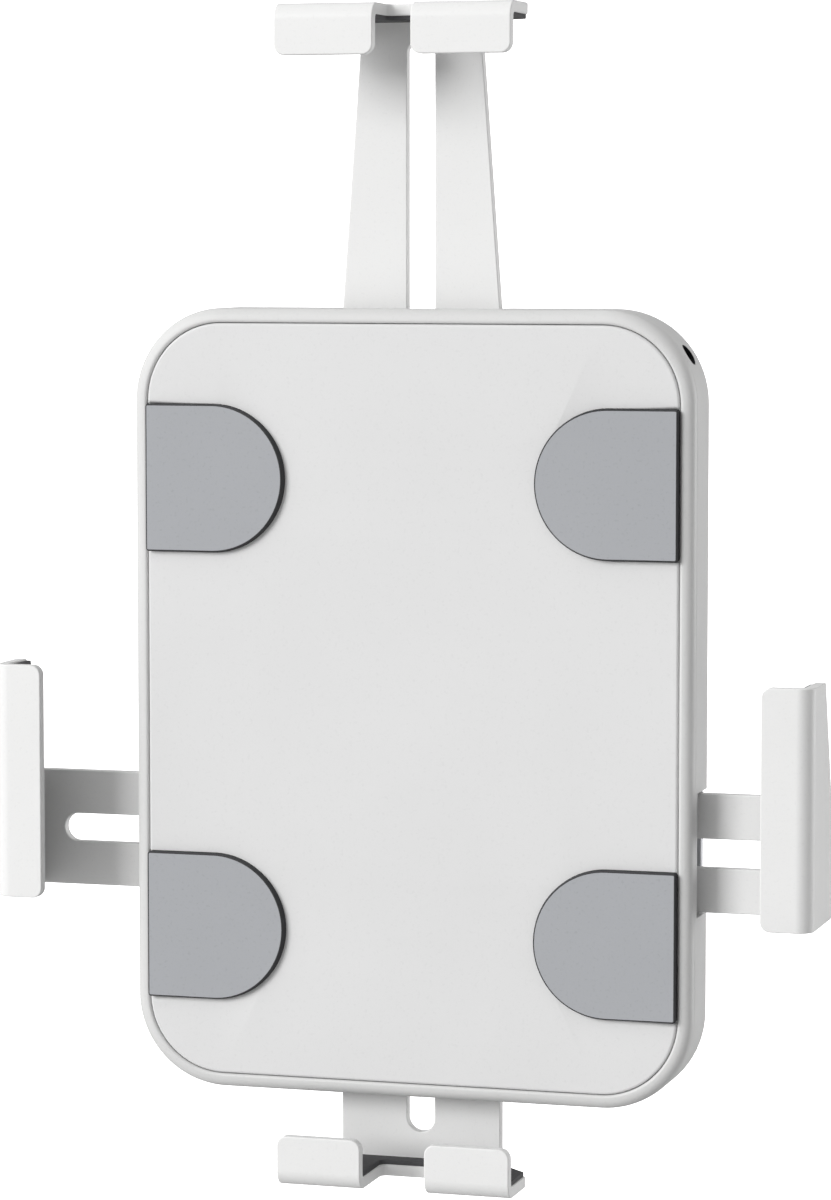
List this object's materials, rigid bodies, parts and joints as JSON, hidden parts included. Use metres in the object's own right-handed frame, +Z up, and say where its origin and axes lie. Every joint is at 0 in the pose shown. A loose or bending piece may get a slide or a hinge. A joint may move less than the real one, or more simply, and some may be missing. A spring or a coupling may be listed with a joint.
{
  "type": "tablet wall mount",
  "caption": "Flat wall casing with slotted sheet-steel arms that slide out on all sides and end in lined hooks, which hold a tablet by its edges against rubber pads.",
  "frame": {"origin": "centre of the four wall-screw holes, on the back face of the wall plate, in the plane of the wall", "axes": "+Y into the wall, so the front faces -Y; +Z up; X across, with -X at the left as one looks at the front"},
  "size_m": [0.1814, 0.0266, 0.253],
  "materials": {
    "coated_steel": "white powder coat, fine texture, satin",
    "cover_plastic": "white, fine moulded texture",
    "panel_plastic": "off-white, matte",
    "pad_rubber": "mid grey, matte",
    "liner_rubber": "dark grey, matte",
    "zinc_steel": "zinc plated"
  },
  "bodies": {
    "casing": {"wall_plate": "zinc_steel", "rear_housing": "cover_plastic", "front_cover": "cover_plastic", "front_panel": "panel_plastic", "arm_studs": "zinc_steel", "arm_washers": "zinc_steel", "arm_nuts": "zinc_steel", "cover_screws": "zinc_steel", "lock_screw": "zinc_steel", "pad_top_left": "pad_rubber", "pad_top_right": "pad_rubber", "pad_bottom_left": "pad_rubber", "pad_bottom_right": "pad_rubber"},
    "top_hook": {"top_arm": "coated_steel", "top_hook_liner": "liner_rubber"},
    "bottom_hook": {"bottom_arm": "coated_steel", "bottom_hook_liner": "liner_rubber"},
    "left_hook": {"left_arm": "coated_steel", "left_hook_liner": "liner_rubber"},
    "right_hook": {"right_arm": "coated_steel", "right_hook_liner": "liner_rubber"}
  },
  "joints": [
    {"name": "top_arm_slide", "type": "slide", "parent": "casing", "child": "top_hook", "axis": [0, 0, 1], "range_m": [-0.055, 0.005]},
    {"name": "bottom_arm_slide", "type": "slide", "parent": "casing", "child": "bottom_hook", "axis": [0, 0, -1], "range_m": [-0.0135, 0.005]},
    {"name": "left_arm_slide", "type": "slide", "parent": "casing", "child": "left_hook", "axis": [-1, 0, 0], "range_m": [-0.0235, 0.005]},
    {"name": "right_arm_slide", "type": "slide", "parent": "casing", "child": "right_hook", "axis": [1, 0, 0], "range_m": [-0.0235, 0.005]}
  ]
}
